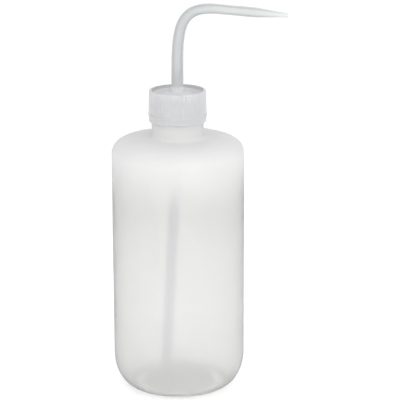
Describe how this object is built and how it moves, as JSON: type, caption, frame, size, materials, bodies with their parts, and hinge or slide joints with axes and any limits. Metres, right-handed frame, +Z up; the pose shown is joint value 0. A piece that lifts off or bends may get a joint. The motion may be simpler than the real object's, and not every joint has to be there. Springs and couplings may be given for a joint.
{
  "type": "wash bottle",
  "caption": "Squeeze wash bottle in milky polyethylene: threaded bottle, ribbed screw cap, sealing insert, bent delivery tube that swivels, and a dip tube.",
  "frame": {"origin": "on the bottle's axis, at the level it stands on; the flat panel in the middle of the base lies 1 mm above it", "axes": "+Z up along the bottle's axis; +X the way the delivery stem points"},
  "size_m": [0.0968, 0.073, 0.2163],
  "materials": {
    "bottle_plastic": "milky translucent, satin, low-density polyethylene",
    "cap_plastic": "natural translucent polypropylene, satin",
    "insert_plastic": "natural polyethylene, satin",
    "stem_plastic": "natural translucent polyethylene tube, semi-gloss",
    "dip_plastic": "natural translucent polyethylene tube, semi-gloss"
  },
  "bodies": {
    "bottle": {"bottle_body": "bottle_plastic"},
    "insert": {"seal_insert": "insert_plastic", "dip_tube": "dip_plastic"},
    "cap": {"screw_cap": "cap_plastic"},
    "nozzle": {"delivery_stem": "stem_plastic"}
  },
  "joints": [
    {"name": "closure_lift", "type": "slide", "parent": "bottle", "child": "insert", "axis": [0, 0, 1], "range_m": [0, 0.00635]},
    {"name": "cap_turn", "type": "hinge", "parent": "insert", "child": "cap", "pos_m": [0, 0, 0.16], "axis": [0, 0, 1], "range_deg": [0, 540]},
    {"name": "nozzle_swivel", "type": "hinge", "parent": "insert", "child": "nozzle", "pos_m": [0, 0, 0.165], "axis": [0, 0, 1], "continuous": true}
  ],
  "couplings": [
    {"joint": "closure_lift", "follows": "cap_turn", "m_per_rad": 0.00067373}
  ]
}
